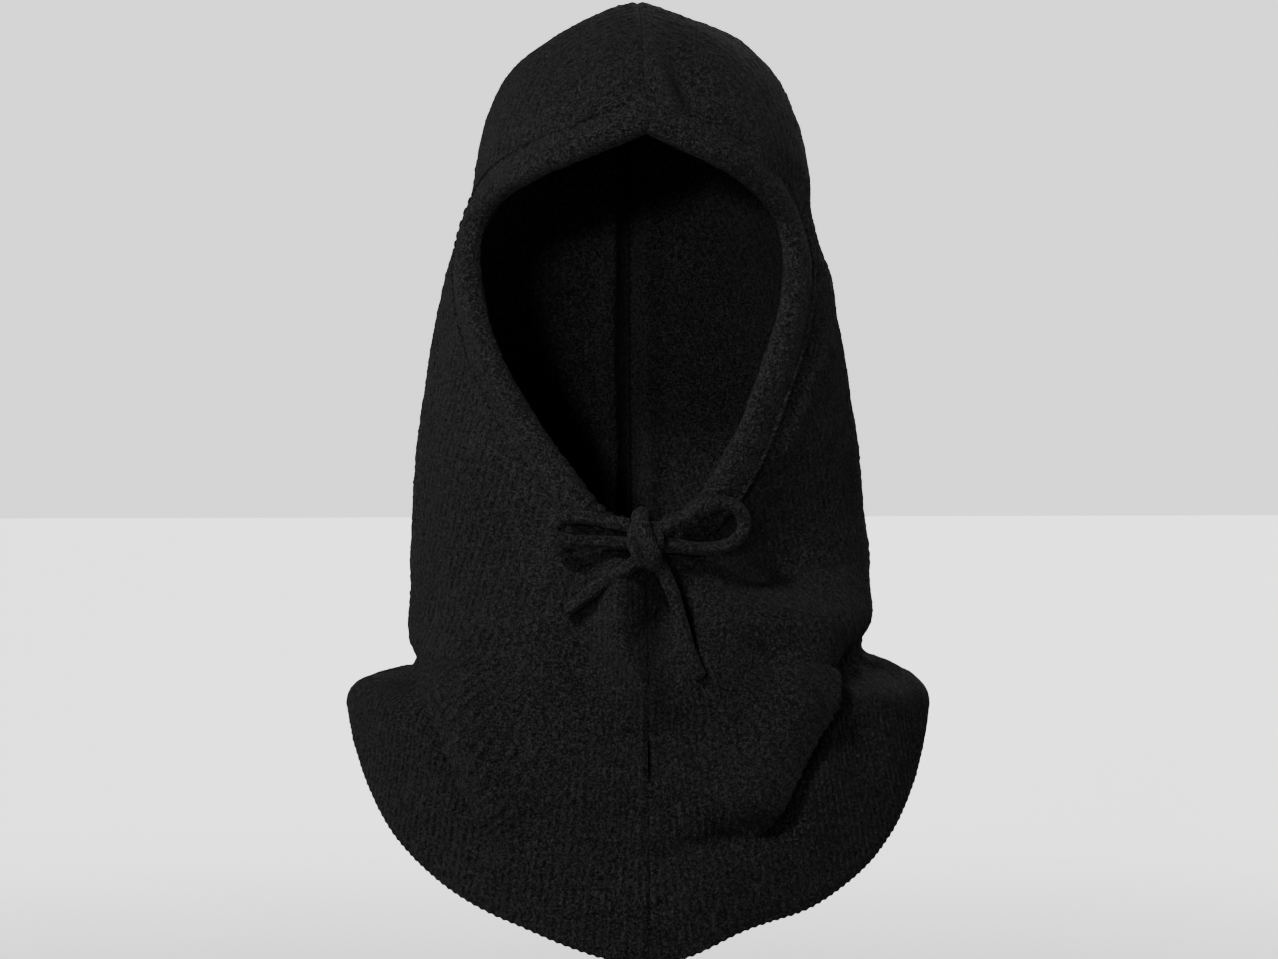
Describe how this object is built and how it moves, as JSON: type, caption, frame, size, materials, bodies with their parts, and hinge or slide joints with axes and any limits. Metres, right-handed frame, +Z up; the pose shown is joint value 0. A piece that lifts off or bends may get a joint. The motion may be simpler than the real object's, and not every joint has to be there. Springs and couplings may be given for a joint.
{
  "type": "hooded knit balaclava",
  "caption": "Soft knit hood with a pointed crown, a teardrop face opening in a drawstring casing tied in a bow, a loose neck and a round bib.",
  "frame": {"origin": "underside of the crown on the mid plane, where the top of the wearer's head touches it", "axes": "+Z up, -Y the face side, -X the left side as seen from the front"},
  "size_m": [0.283, 0.2681, 0.462],
  "materials": {
    "knit": "felted rib knit, charcoal black, fuzzy",
    "casing_knit": "turned knit casing, charcoal black, fuzzy",
    "seam_yarn": "linking yarn, charcoal black",
    "cord_knit": "round knitted cord, charcoal black, fuzzy"
  },
  "bodies": {
    "hood": {"hood_panel_left": "knit", "hood_panel_right": "knit", "crown_seam_yarn": "seam_yarn", "back_seam_yarn": "seam_yarn", "front_seam_yarn": "seam_yarn", "face_casing_left": "casing_knit", "face_casing_right": "casing_knit", "casing_stitches_left": "seam_yarn", "casing_stitches_right": "seam_yarn", "drawstring_run": "cord_knit", "bow_knot": "cord_knit"},
    "loop_left": {"bow_loop_left": "cord_knit"},
    "loop_right": {"bow_loop_right": "cord_knit"},
    "tail_left": {"bow_tail_left": "cord_knit"},
    "tail_right": {"bow_tail_right": "cord_knit"}
  },
  "joints": [
    {"name": "loop_left_swing", "type": "hinge", "parent": "hood", "child": "loop_left", "pos_m": [0, -0.10853, -0.2554], "axis": [0, 0, 1], "range_deg": [0, 40]},
    {"name": "loop_right_swing", "type": "hinge", "parent": "hood", "child": "loop_right", "pos_m": [0, -0.10853, -0.2554], "axis": [0, 0, -1], "range_deg": [0, 40]},
    {"name": "tail_left_lift", "type": "hinge", "parent": "hood", "child": "tail_left", "pos_m": [0, -0.10853, -0.261], "axis": [-1, 0, 0], "range_deg": [0, 30]},
    {"name": "tail_right_lift", "type": "hinge", "parent": "hood", "child": "tail_right", "pos_m": [0, -0.10853, -0.261], "axis": [-1, 0, 0], "range_deg": [0, 30]}
  ]
}
